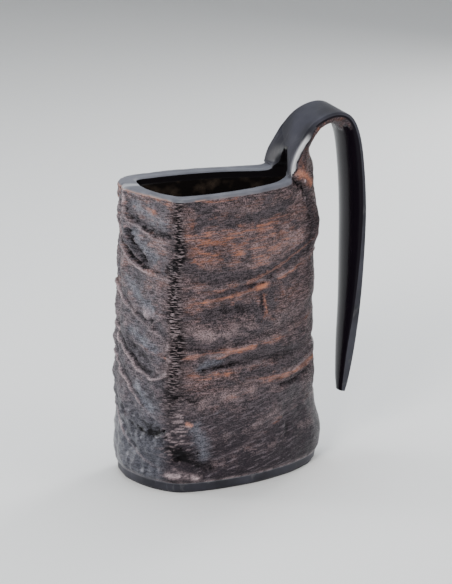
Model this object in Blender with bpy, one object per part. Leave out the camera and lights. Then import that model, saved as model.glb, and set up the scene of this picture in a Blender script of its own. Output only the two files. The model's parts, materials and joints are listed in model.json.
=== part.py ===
"""Drinking mug made from one cow horn: the wide end is a flattened, square-fronted body, and the
horn's tip is cut down to a strap, bent over above the rim and hangs beside the wall as the handle.

The wide end is hollow, so a flat base plug is let into it from below against a shoulder, with a
bead of sealant round it and a thin lacquer lining above it.

Metres, +Z up. The base stands on Z=0, the handle bends in the plane Y=0 and hangs on the +X side.
Sizes below are in millimetres.
"""

import bmesh
import bpy
import numpy as np

MM = 0.001

# Heights.
BODY_HEIGHT = 150.0
LIP_DROP = 1.8
LIP_BEVEL = 1.4
SHOULDER_Z = 8.3
FIT_GAP = 0.3

# Base plug, sealant bead and lining.
REBATE = 1.8
BEAD = 0.9
BEAD_Z = (1.0, 7.4)
PLUG_TOP = SHOULDER_Z - FIT_GAP
LINING = 0.4
LINING_TOP = 145.5

# Plan outlines of the horn, seen from above, as (x, y) control points in the same order.
# Points LEG_NEAR to LEG_FAR are the end of the body that rises above the rim as the handle.
RIM_OUTER = (
    (-36.0, -33.5), (-32.5, -37.0), (-27.0, -37.3), (-14.0, -35.8), (6.0, -31.5),
    (22.0, -24.5), (31.0, -18.8), (42.0, -12.5), (49.3, -4.0), (49.3, 5.0), (42.0, 12.0),
    (29.5, 16.3), (8.0, 19.0), (-14.0, 20.2), (-36.0, 18.2), (-46.0, 14.0), (-48.8, 8.0),
    (-48.2, 3.0), (-50.0, -2.0), (-45.0, -14.0), (-40.2, -25.0),
)
RIM_INNER = (
    (-33.2, -29.0), (-30.2, -31.3), (-26.0, -31.7), (-14.0, -31.2), (5.0, -26.4),
    (20.0, -19.6), (30.2, -10.4), (36.8, -6.4), (39.2, -1.4), (39.2, 2.8), (36.4, 6.2),
    (29.6, 7.6), (8.0, 13.4), (-14.0, 14.6), (-33.5, 12.6), (-39.2, 10.6), (-40.8, 7.0),
    (-41.2, 2.0), (-41.6, -3.0), (-40.6, -13.0), (-37.4, -23.0),
)
BASE_OUTER = (
    (-38.5, -27.5), (-32.5, -31.6), (-25.0, -33.0), (-12.0, -33.0), (8.0, -30.0),
    (24.0, -24.3), (35.0, -19.0), (46.0, -11.5), (52.5, -2.0), (52.5, 7.0), (46.0, 16.0),
    (30.0, 23.0), (8.0, 27.0), (-14.0, 28.2), (-35.0, 27.0), (-46.5, 21.5), (-51.2, 13.0),
    (-51.8, 5.0), (-51.5, -2.0), (-48.5, -12.0), (-44.5, -20.0),
)
LEG_NEAR, LEG_FAR = 6, 11
BASE_CENTRE = (0.0, -2.5)
BASE_BORE_SCALE = (0.85, 0.79)

# How far the two narrow ends swell (+) or draw in (-) at each height.
SWELL_Z = (0.0, 5.0, 15.0, 21.0, 27.0, 36.0, 50.0, 68.0, 85.0, 104.0, 110.0, 116.0, 125.0,
           130.0, 136.0, 143.0, 150.0)
SWELL_RIGHT = (-3.0, -1.8, -0.9, -1.6, -3.1, -3.4, -3.8, -4.1, -3.8, -3.4, -2.6, -0.8, -0.8,
               -1.4, -1.7, -3.0, -4.3)
SWELL_LEFT = (-0.8, -0.4, 0.0, 0.1, 0.2, 0.5, 0.8, 0.5, 0.2, -0.2, -0.3, -0.4, -0.5,
              -0.3, -0.1, 0.0, 0.0)
SWELL_BLUR = (-2.4, -1.2, 0.0, 1.2, 2.4)

# The handle, as a path along the middle of its flat sawn face. The other face is rounded.
# x, z, half width, thickness, height of the side edge.
HANDLE = (
    (30.8, 150.0, 17.6, 14.2, 1.8),
    (33.2, 160.0, 16.2, 10.8, 1.8),
    (37.9, 170.7, 15.4, 9.6, 1.7),
    (45.4, 178.0, 15.0, 8.4, 1.6),
    (55.3, 181.1, 15.0, 7.5, 1.5),
    (63.0, 178.2, 15.0, 7.1, 1.5),
    (67.6, 168.4, 14.8, 7.0, 1.5),
    (70.1, 152.0, 14.6, 7.2, 1.6),
    (71.4, 130.0, 14.4, 7.2, 1.9),
    (71.4, 105.0, 12.8, 7.2, 2.6),
    (70.8, 80.0, 10.2, 7.1, 3.6),
    (69.2, 58.0, 7.6, 6.6, 4.4),
    (67.0, 41.0, 5.2, 5.0, 3.4),
    (65.6, 33.6, 3.4, 3.4, 2.0),
)
HOLLOW_END = 12.0
MERGE_LENGTH = 24.0
FILLET = 2.4

# Mesh density.
PER_SPAN = 4
OUTER_ROWS = 12
INNER_ROWS = 7
HANDLE_ROWS = 30
LIP_SHARE = (0.0, 0.16, 0.5, 0.84, 1.0)


def clear_scene():
    for obj in list(bpy.data.objects):
        bpy.data.objects.remove(obj, do_unlink=True)


def smooth(value):
    value = np.clip(value, 0.0, 1.0)
    return value * value * (3.0 - 2.0 * value)


def swell(z, amounts):
    """How far an end swells at this height, blurred a little so that it has no kinks."""
    return np.mean([np.interp(z + shift, SWELL_Z, amounts) for shift in SWELL_BLUR])


def spline(before, start, end, after, t):
    """One Catmull-Rom span, between start and end."""
    return 0.5 * (
        2 * start
        + (end - before) * t
        + (2 * before - 5 * start + 4 * end - after) * t**2
        + (3 * start - before - 3 * end + after) * t**3
    )


def loop_through(points):
    """A closed smooth outline through the control points, PER_SPAN points to each span."""
    points = np.array(points)
    count = len(points)
    return np.array([
        spline(points[i - 1], points[i], points[(i + 1) % count], points[(i + 2) % count], k / PER_SPAN)
        for i in range(count)
        for k in range(PER_SPAN)
    ])


def path_through(rows, steps=24):
    """An open smooth line through the rows, with its length so far in a second array."""
    rows = np.array(rows)
    rows = np.vstack([2 * rows[0] - rows[1], rows, 2 * rows[-1] - rows[-2]])
    line = [
        spline(rows[i - 1], rows[i], rows[i + 1], rows[i + 2], k / steps)
        for i in range(1, len(rows) - 2)
        for k in range(steps)
    ]
    line = np.array([*line, rows[-2]])
    lengths = np.linalg.norm(np.diff(line[:, :2], axis=0), axis=1)
    return line, np.concatenate([[0.0], np.cumsum(lengths)])


def widened(ring, distance):
    """The outline with every side moved outwards in plan by the distance, corners mitred."""
    side = np.roll(ring, -1, axis=0) - ring
    side /= np.linalg.norm(side, axis=1, keepdims=True)
    after = np.stack([side[:, 1], -side[:, 0]], axis=1)
    before = np.roll(after, 1, axis=0)
    mitre = (after + before) / (1 + (after * before).sum(axis=1, keepdims=True))
    return ring + mitre * distance


def at_height(ring, z):
    return np.column_stack([ring, np.full(len(ring), z) if np.isscalar(z) else z])


class Outlines:
    """The horn's plan outlines, sampled once."""

    def __init__(self):
        self.rim = loop_through(RIM_OUTER)
        self.base = loop_through(BASE_OUTER)
        self.rim_bore = loop_through(RIM_INNER)
        self.base_bore = BASE_CENTRE + (self.base - BASE_CENTRE) * BASE_BORE_SCALE

    def outer(self, z):
        share = z / BODY_HEIGHT
        ring = self.base * (1 - share) + self.rim * share
        right = smooth((ring[:, 0] - 24.0) / 24.0) * swell(z, SWELL_RIGHT)
        left = smooth((-ring[:, 0] - 15.0) / 32.0) * swell(z, SWELL_LEFT)
        ring[:, 0] += right - left
        tuck = 1.2 * (1 - smooth(z / 1.6))
        return widened(ring, -tuck)

    def bore(self, z):
        share = z / BODY_HEIGHT
        return self.base_bore * (1 - share) + self.rim_bore * share


OUTLINES = Outlines()
COLUMNS = len(OUTLINES.rim)
FIRST, LAST = LEG_NEAR * PER_SPAN, LEG_FAR * PER_SPAN
LEG = np.arange(FIRST, LAST + 1)
OPEN_RIM = np.arange(LAST, FIRST + COLUMNS + 1) % COLUMNS


def rim_rise():
    """The rim climbs a little towards each leg of the handle."""
    ring = OUTLINES.rim
    gap = np.minimum(
        np.linalg.norm(ring - ring[FIRST], axis=1), np.linalg.norm(ring - ring[LAST], axis=1)
    )
    gap[LEG] = 0.0
    return 1.4 * np.exp(-gap / 2.5)


def handle_stations():
    """Lengths along the handle's path, closer together where it leaves the rim."""
    total = path_through(HANDLE)[1][-1]
    share = np.linspace(0.0, 1.0, HANDLE_ROWS + 1)
    return total * (0.45 * share + 0.55 * share**1.6)


def across(outer_edge, inner_edge, normal, drops):
    """Points over a cut edge, from the outer surface to the inner one, both lowered by its bevels."""
    top_outer = outer_edge + normal * drops[0]
    top_inner = inner_edge + normal * drops[-1]
    return np.array([
        top_outer * (1 - share) + top_inner * share - normal * drop
        for share, drop in zip(LIP_SHARE, drops)
    ])


def handle_rings(rise):
    """For each station: the rounded surface, the sawn surface and the normal of the sawn face."""
    line, lengths = path_through(HANDLE)
    rim = OUTLINES.outer(BODY_HEIGHT)[LEG]
    bore = OUTLINES.rim_bore[LEG]
    spread = (2 * rim[:, 1] - rim[0, 1] - rim[-1, 1]) / (rim[-1, 1] - rim[0, 1])
    bore_spread = (2 * bore[:, 1] - bore[0, 1] - bore[-1, 1]) / (bore[-1, 1] - bore[0, 1])
    bore_depth = np.maximum(bore[:, 0] - np.linspace(bore[0, 0], bore[-1, 0], len(bore)), 0.0)
    bore_half = 0.5 * (bore[-1, 1] - bore[0, 1])
    rim_middle = 0.5 * (rim[0, 1] + rim[-1, 1])
    bore_middle = 0.5 * (bore[0, 1] + bore[-1, 1])
    rings = []
    for s in handle_stations():
        x, z, half, thick, edge = (np.interp(s, lengths, line[:, i]) for i in range(5))
        ahead = np.array([np.interp(s + 0.5, lengths, line[:, i]) for i in (0, 1)])
        behind = np.array([np.interp(max(s - 0.5, 0.0), lengths, line[:, i]) for i in (0, 1)])
        along = (ahead - behind) / np.linalg.norm(ahead - behind)
        normal = np.array([-along[1], 0.0, along[0]])
        merged = smooth(s / MERGE_LENGTH)
        middle = rim_middle * (1 - merged)
        bulge = np.maximum(1 - spread**2, 0.0) ** (0.75 - 0.15 * merged)
        round_face = np.outer(edge + (thick - edge) * bulge, -normal)
        round_face += (x, middle, z)
        round_face[:, 1] += half * spread
        wall = np.column_stack([rim, np.full(len(rim), z - LIP_DROP) + rise[LEG] * (1 - merged)])
        round_face = wall * (1 - merged) + round_face * merged

        open_share = np.clip(1.0 - s / HOLLOW_END, 0.0, 1.0)
        bevel = LIP_BEVEL * smooth(s / 2.0) * open_share
        closing = bore_half * (0.22 + 0.78 * open_share)
        flat = half - 0.8 * edge
        reach = closing + (flat - closing) * smooth((s - HOLLOW_END) / 9.0)
        sawn = np.outer(bevel + (bore_depth - bevel) * open_share * (bore_depth > bevel), -normal)
        sawn += (x, middle * 0.6 + bore_middle * 0.4 * open_share, z)
        sawn[:, 1] += reach * bore_spread
        hollow = np.column_stack([bore, np.full(len(bore), z - LIP_BEVEL) + rise[LEG] * (1 - merged)])
        leaving = smooth(s / 4.0)
        sawn = hollow * (1 - leaving) + sawn * leaving

        turned = smooth(s / FILLET)
        normal = normal * turned + np.array([0.0, 0.0, 1.0]) * (1 - turned)
        normal /= np.linalg.norm(normal)
        drops = np.array([edge, 0.12 * edge, 0.0, 0.2 * bevel, bevel])
        lip = np.array([LIP_DROP, 0.2, 0.0, 0.25, LIP_BEVEL])
        rings.append((round_face, sawn, normal, drops * turned + lip * (1 - turned)))
    return rings


class Mesh:
    """Quad patches gathered into one mesh and welded where their borders meet."""

    def __init__(self):
        self.bm = bmesh.new()

    def patch(self, rows, closed=False):
        made = [[self.bm.verts.new(np.asarray(p) * MM) for p in row] for row in rows]
        for lower, upper in zip(made, made[1:]):
            for i in range(len(lower) - (not closed)):
                j = (i + 1) % len(lower)
                self.bm.faces.new((lower[i], lower[j], upper[j], upper[i]))
        return made

    def cap(self, row):
        self.bm.faces.new(row)

    def finish(self, name, material, sharp_degrees=40.0):
        bmesh.ops.remove_doubles(self.bm, verts=self.bm.verts, dist=1e-3 * MM)
        bmesh.ops.dissolve_degenerate(self.bm, edges=self.bm.edges, dist=1e-3 * MM)
        bmesh.ops.recalc_face_normals(self.bm, faces=self.bm.faces)
        mesh = bpy.data.meshes.new(name)
        for face in self.bm.faces:
            face.smooth = True
        for edge in self.bm.edges:
            edge.smooth = bool(edge.calc_face_angle(0.0) < np.radians(sharp_degrees))
        self.bm.to_mesh(mesh)
        self.bm.free()
        obj = bpy.data.objects.new(name, mesh)
        obj.data.materials.append(material)
        bpy.context.collection.objects.link(obj)
        return obj


def principled(name, colour, roughness, coat=0.0):
    material = bpy.data.materials.new(name)
    material.use_nodes = True
    shader = material.node_tree.nodes["Principled BSDF"]
    shader.inputs["Base Color"].default_value = (*colour, 1.0)
    shader.inputs["Roughness"].default_value = roughness
    shader.inputs["Coat Weight"].default_value = coat
    return material


def rebate_ring():
    """The wall of the rebate that the plug sits in."""
    return widened(OUTLINES.bore(SHOULDER_Z), REBATE)


def horn_shell(material):
    """Body wall, rim and handle, all one piece of horn."""
    rise = rim_rise()
    outer_z = BODY_HEIGHT - LIP_DROP
    heights = [0.0, 0.5, 1.6, *np.linspace(4.8, outer_z, OUTER_ROWS)]
    outside = [at_height(OUTLINES.outer(z), z + rise * smooth(z / outer_z * 8.0 - 7.0)) for z in heights]
    inner_z = BODY_HEIGHT - LIP_BEVEL
    depths = np.linspace(inner_z, SHOULDER_Z, INNER_ROWS)
    inside = [at_height(OUTLINES.bore(z), z + rise * smooth(z / inner_z * 8.0 - 7.0)) for z in depths]
    inside[0] = at_height(OUTLINES.rim_bore, inner_z + rise)
    outside[-1] = at_height(OUTLINES.outer(BODY_HEIGHT), outer_z + rise)
    rebate = rebate_ring()
    foot = [at_height(rebate, SHOULDER_Z), at_height(rebate, 0.0)]

    rings = handle_rings(rise)
    lip = np.array([LIP_DROP, 0.2, 0.0, 0.25, LIP_BEVEL])
    up = np.array([0.0, 0.0, 1.0])

    mesh = Mesh()
    mesh.patch(inside + foot + outside, closed=True)
    mesh.patch([across(outside[-1][j], inside[0][j], up, lip) for j in OPEN_RIM])
    mesh.patch([ring[0] for ring in rings])
    mesh.patch([ring[1] for ring in rings])
    for edge in (0, -1):
        mesh.patch([across(r[0][edge], r[1][edge], r[2], r[3]) for r in rings])
    round_face, sawn, normal, drops = rings[-1]
    mesh.patch([across(outer, inner, normal, drops) for outer, inner in zip(round_face, sawn)])
    return mesh.finish("horn_shell", material)


def base_plug(material):
    """Flat plate let into the foot of the horn, below the shoulder."""
    edge = widened(rebate_ring(), -(2 * FIT_GAP + BEAD))
    mesh = Mesh()
    made = mesh.patch([
        at_height(widened(edge, -0.5), 0.0),
        at_height(edge, 0.5),
        at_height(edge, PLUG_TOP - 0.5),
        at_height(widened(edge, -0.5), PLUG_TOP),
    ], closed=True)
    mesh.cap(made[0])
    mesh.cap(made[-1])
    return mesh.finish("base_plug", material)


def seal_bead(material):
    """Ring of sealant between the plug and the rebate."""
    outer = widened(rebate_ring(), -FIT_GAP)
    inner = widened(outer, -BEAD)
    low, high = BEAD_Z
    mesh = Mesh()
    mesh.patch([
        at_height(outer, low), at_height(outer, high), at_height(inner, high),
        at_height(inner, low), at_height(outer, low),
    ], closed=True)
    return mesh.finish("seal_bead", material)


def inner_lining(material):
    """Thin film of lacquer over the inside of the wall and the top of the plug."""
    heights = np.linspace(SHOULDER_Z, LINING_TOP, INNER_ROWS)
    outside = [at_height(widened(OUTLINES.bore(z), -FIT_GAP), z) for z in heights]
    inside = [at_height(widened(OUTLINES.bore(z), -FIT_GAP - LINING), z) for z in heights[1:]]
    floor = at_height(widened(OUTLINES.bore(SHOULDER_Z), -FIT_GAP - LINING), SHOULDER_Z + LINING)
    mesh = Mesh()
    made = mesh.patch([*outside, *reversed(inside), floor], closed=True)
    mesh.cap(made[0])
    mesh.cap(made[-1])
    return mesh.finish("inner_lining", material)


def main():
    clear_scene()
    horn_shell(principled("horn", (0.075, 0.062, 0.058), 0.55))
    base_plug(principled("plug", (0.11, 0.095, 0.085), 0.5))
    seal_bead(principled("sealant", (0.16, 0.13, 0.09), 0.4))
    inner_lining(principled("lacquer", (0.012, 0.011, 0.012), 0.12, 0.6))


main()
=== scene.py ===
"""Looks of the horn mug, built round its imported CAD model.

The mug is one cow horn: a flattened body, and the tip bent over the rim as a hanging strap handle.
Lengths in this script are millimetres unless a name ends in _M or _m, and +Z is up.
"""

import json
import math

import bmesh
import bpy
import numpy as np
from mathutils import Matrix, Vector, noise

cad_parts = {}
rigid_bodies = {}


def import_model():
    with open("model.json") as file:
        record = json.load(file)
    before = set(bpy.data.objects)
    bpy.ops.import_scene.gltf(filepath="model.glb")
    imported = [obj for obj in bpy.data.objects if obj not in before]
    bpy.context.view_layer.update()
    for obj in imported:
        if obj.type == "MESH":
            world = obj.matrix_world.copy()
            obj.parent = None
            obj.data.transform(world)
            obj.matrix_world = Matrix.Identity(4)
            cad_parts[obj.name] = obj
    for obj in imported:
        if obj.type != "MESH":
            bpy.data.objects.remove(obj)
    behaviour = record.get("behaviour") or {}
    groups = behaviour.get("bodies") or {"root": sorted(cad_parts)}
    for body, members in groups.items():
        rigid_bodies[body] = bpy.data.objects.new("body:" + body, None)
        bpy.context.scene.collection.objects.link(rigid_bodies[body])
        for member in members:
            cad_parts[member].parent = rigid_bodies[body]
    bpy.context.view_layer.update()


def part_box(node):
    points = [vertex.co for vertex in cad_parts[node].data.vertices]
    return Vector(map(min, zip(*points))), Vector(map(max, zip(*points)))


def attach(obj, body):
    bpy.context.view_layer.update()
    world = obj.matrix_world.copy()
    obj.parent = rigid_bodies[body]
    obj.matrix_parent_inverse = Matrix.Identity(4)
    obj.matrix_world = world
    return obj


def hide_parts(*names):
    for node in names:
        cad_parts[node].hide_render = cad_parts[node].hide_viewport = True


MM = 0.001

for old in list(bpy.data.objects):
    bpy.data.objects.remove(old, do_unlink=True)
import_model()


def heights_of(node):
    """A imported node's lowest and highest points."""
    low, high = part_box(node)
    return low.z / MM, high.z / MM


# Heights of the hidden pieces. The lining stands level with the shoulder above the plug.
PLUG_TOP = heights_of("base_plug")[1]
BEAD_Z = heights_of("seal_bead")
SHOULDER_Z, LINING_TOP = heights_of("inner_lining")

# Heights, bevels and thicknesses, the same as the CAD model's.
BODY_HEIGHT = 150.0
LIP_DROP = 1.8
LIP_BEVEL = 1.4
OUTER_TOP = BODY_HEIGHT - LIP_DROP
INNER_TOP = BODY_HEIGHT - LIP_BEVEL
FIT_GAP = 0.3
REBATE = 1.8
BEAD = 0.9
LINING = 0.4
BAND_TOP = 4.8  # the foot is sawn smooth up to here

# Control points of the outlines, anticlockwise from the left front.
RIM_OUTER = (
    (-36.0, -33.5), (-32.5, -37.0), (-27.0, -37.3), (-14.0, -35.8), (6.0, -31.5),
    (22.0, -24.5), (31.0, -18.8), (42.0, -12.5), (49.3, -4.0), (49.3, 5.0), (42.0, 12.0),
    (29.5, 16.3), (8.0, 19.0), (-14.0, 20.2), (-36.0, 18.2), (-46.0, 14.0), (-48.8, 8.0),
    (-48.2, 3.0), (-50.0, -2.0), (-45.0, -14.0), (-40.2, -25.0),
)
RIM_INNER = (
    (-33.2, -29.0), (-30.2, -31.3), (-26.0, -31.7), (-14.0, -31.2), (5.0, -26.4),
    (20.0, -19.6), (30.2, -10.4), (36.8, -6.4), (39.2, -1.4), (39.2, 2.8), (36.4, 6.2),
    (29.6, 7.6), (8.0, 13.4), (-14.0, 14.6), (-33.5, 12.6), (-39.2, 10.6), (-40.8, 7.0),
    (-41.2, 2.0), (-41.6, -3.0), (-40.6, -13.0), (-37.4, -23.0),
)
BASE_OUTER = (
    (-38.5, -27.5), (-32.5, -31.6), (-25.0, -33.0), (-12.0, -33.0), (8.0, -30.0),
    (24.0, -24.3), (35.0, -19.0), (46.0, -11.5), (52.5, -2.0), (52.5, 7.0), (46.0, 16.0),
    (30.0, 23.0), (8.0, 27.0), (-14.0, 28.2), (-35.0, 27.0), (-46.5, 21.5), (-51.2, 13.0),
    (-51.8, 5.0), (-51.5, -2.0), (-48.5, -12.0), (-44.5, -20.0),
)
# Spans of those outlines where the handle grows from the rim, and where the front corner is.
LEG_NEAR, LEG_FAR = 6, 11
CORNER_SPAN = 1.4
BASE_CENTRE = (0.0, -2.5)
BASE_BORE_SCALE = (0.85, 0.79)

# How far each end stands out from a straight wall at each height.
SWELL_Z = (0.0, 5.0, 15.0, 21.0, 27.0, 36.0, 50.0, 68.0, 85.0, 104.0, 110.0, 116.0, 125.0,
           130.0, 136.0, 143.0, 150.0)
SWELL_RIGHT = (-3.0, -1.8, -0.9, -1.6, -3.1, -3.4, -3.8, -4.1, -3.8, -3.4, -2.6, -0.8, -0.8,
               -1.4, -1.7, -3.0, -4.3)
SWELL_LEFT = (-0.8, -0.4, 0.0, 0.1, 0.2, 0.5, 0.8, 0.5, 0.2, -0.2, -0.3, -0.4, -0.5,
              -0.3, -0.1, 0.0, 0.0)
SWELL_BLUR = (-2.4, -1.2, 0.0, 1.2, 2.4)

# The handle from its root to its tip: x, z, half width, thickness, height of the side edge.
HANDLE = (
    (30.8, 150.0, 17.6, 14.2, 1.8),
    (33.2, 160.0, 16.2, 10.8, 1.8),
    (37.9, 170.7, 15.4, 9.6, 1.7),
    (45.4, 178.0, 15.0, 8.4, 1.6),
    (55.3, 181.1, 15.0, 7.5, 1.5),
    (63.0, 178.2, 15.0, 7.1, 1.5),
    (67.6, 168.4, 14.8, 7.0, 1.5),
    (70.1, 152.0, 14.6, 7.2, 1.6),
    (71.4, 130.0, 14.4, 7.2, 1.9),
    (71.4, 105.0, 12.8, 7.2, 2.6),
    (70.8, 80.0, 10.2, 7.1, 3.6),
    (69.2, 58.0, 7.6, 6.6, 4.4),
    (67.0, 41.0, 5.2, 5.0, 3.4),
    (65.6, 33.6, 3.4, 3.4, 2.0),
)
RIM_RISE = 1.4  # how far the rim climbs into the handle's root

# Distances along the handle from the rim.
HOLLOW_END = 12.0  # the hollow in its root
MERGE_LENGTH = 24.0  # the wall's outline changes into the handle's own
FILLET = 2.4  # the rim's top turns into the sawn face
EDGE_HIGHLIGHT_END = 25.0  # where the painted white highlight on the near edge's cut ends
POLISH_START = 55.0  # the bark is polished away from here to the tip
CUT_END = 60.0  # the near edge's cut
BARK_END = 70.0  # the bark's relief
FACET = 3.4  # width of the near edge's cut

# Mesh density: distances between columns and rows, then numbers of rows.
COLUMN_STEP = 0.78
BACK_COLUMN_STEP = 1.25
ROW_STEP = 0.68
INNER_ROWS = 10
HANDLE_ROWS = 118
WELD = 2e-4  # points in the same cell of this size are joined
SHARP_DEGREES = 42.0

# The crossing from an outer to an inner edge: share of the way, and drop below the crest.
LIP_SHARE = (0.0, 0.05, 0.11, 0.2, 0.5, 0.78, 0.9, 1.0)
LIP_DROPS = (LIP_DROP, 0.95, 0.35, 0.08, 0.0, 0.12, 0.45, LIP_BEVEL)

# Growth rings of the horn, from the top down. Each knot is the distance round the outline from the
# front corner, the height, and how strongly the crest and the groove above it show there.
RINGS = (
    (
        (-122, 139, 0.3, 0.3), (-92, 143, 0.3, 0.2), (-66, 141, 0.4, 0.3), (-50, 136, 0.6, 0.2),
        (-40, 134, 0.9, 0.5), (-33, 132, 0.8, 1.0), (-23, 129, 0.6, 1.0), (-12, 127, 0.3, 0.5),
        (-2, 131, 0.0, 0.1), (12, 142, 0.1, 0.4), (22, 137, 0.1, 0.5), (40, 133, 0.1, 0.4),
        (60, 133, 0.1, 0.3), (76, 137, 0.2, 0.2), (92, 140, 0.3, 0.3), (112, 138, 0.3, 0.4),
    ),
    (
        (-122, 119, 0.6, 0.5), (-98, 126, 0.6, 0.6), (-76, 133, 0.6, 0.4), (-60, 134, 0.8, 0.4),
        (-50, 129, 1.1, 0.5), (-39, 118, 1.2, 1.1), (-32, 113, 1.1, 1.2), (-23, 109.5, 0.8, 0.8),
        (-11, 109, 0.3, 0.3), (0, 107, 0.2, 0.3), (6, 105.5, 0.5, 0.6), (18, 104, 0.7, 0.8),
        (33, 104, 0.7, 0.7), (53, 104.5, 0.7, 0.5), (66, 107, 0.7, 0.5), (78, 110, 0.7, 0.5),
        (95, 110, 0.6, 0.4), (116, 114, 0.6, 0.5),
    ),
    (
        (-122, 96, 0.6, 0.6), (-98, 103, 0.5, 0.4), (-76, 105, 0.6, 0.4), (-55, 99, 1.0, 0.5),
        (-46, 95, 1.1, 0.5), (-39, 92, 1.1, 0.5), (-30, 87, 0.9, 0.4), (-21, 83, 0.6, 0.3),
        (-11, 79, 0.3, 0.3), (-2, 74, 0.1, 0.4), (4, 71.5, 0.5, 0.9), (12, 70, 0.7, 1.1),
        (21, 71, 0.7, 1.0), (38, 72.5, 0.6, 0.9), (53, 74.5, 0.4, 0.5), (77, 79, 0.4, 0.4),
        (95, 84, 0.5, 0.4), (116, 90, 0.6, 0.5),
    ),
    (
        (-122, 76, 0.5, 0.4), (-98, 83, 0.6, 0.5), (-76, 86, 0.6, 0.5), (-54, 79, 1.0, 0.4),
        (-42, 72, 1.2, 0.7), (-32, 64, 1.2, 1.2), (-25, 61, 1.1, 1.1), (-19, 58, 0.9, 0.7),
        (-11, 58, 0.7, 0.4), (-6, 64, 0.3, 0.2), (2, 62, 0.1, 0.3), (9, 61, 0.3, 0.7),
        (21, 61.5, 0.4, 1.0), (33, 61.5, 0.4, 0.9), (47, 61.5, 0.3, 1.0), (62, 60, 0.4, 1.0),
        (76, 62, 0.4, 0.6), (95, 65, 0.4, 0.4), (116, 70, 0.5, 0.4),
    ),
    (
        (-122, 56, 0.4, 0.3), (-98, 62, 0.5, 0.4), (-76, 67, 0.6, 0.3), (-55, 64, 0.9, 0.4),
        (-45, 59, 1.0, 0.5), (-38, 55, 1.0, 0.6), (-33, 51, 1.0, 0.6), (-28, 46, 0.8, 0.5),
        (-20, 40, 0.4, 0.3), (-10, 36, 0.1, 0.1), (6, 42, 0.0, 0.0), (26, 49, 0.3, 0.1),
        (40, 53, 0.7, 0.3), (53, 54, 0.9, 0.4), (63, 54.5, 0.9, 0.5), (75, 57, 0.7, 0.5),
        (95, 58, 0.5, 0.3), (116, 55, 0.4, 0.3),
    ),
    (
        (-122, 30, 0.2, 0.2), (-98, 38, 0.4, 0.2), (-76, 43, 0.5, 0.3), (-55, 37, 0.8, 0.4),
        (-43, 30, 0.7, 0.4), (-36, 22, 0.6, 0.4), (-26, 17, 0.3, 0.3), (-12, 12, 0.1, 0.1),
        (8, 12, 0.0, 0.0), (28, 20, 0.2, 0.1), (50, 31, 0.3, 0.2), (70, 38, 0.3, 0.2),
        (95, 36, 0.3, 0.2), (116, 30, 0.2, 0.2),
    ),
)
NEXT_RING_Z = 156.0  # the ring that the rim was sawn off below

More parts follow.
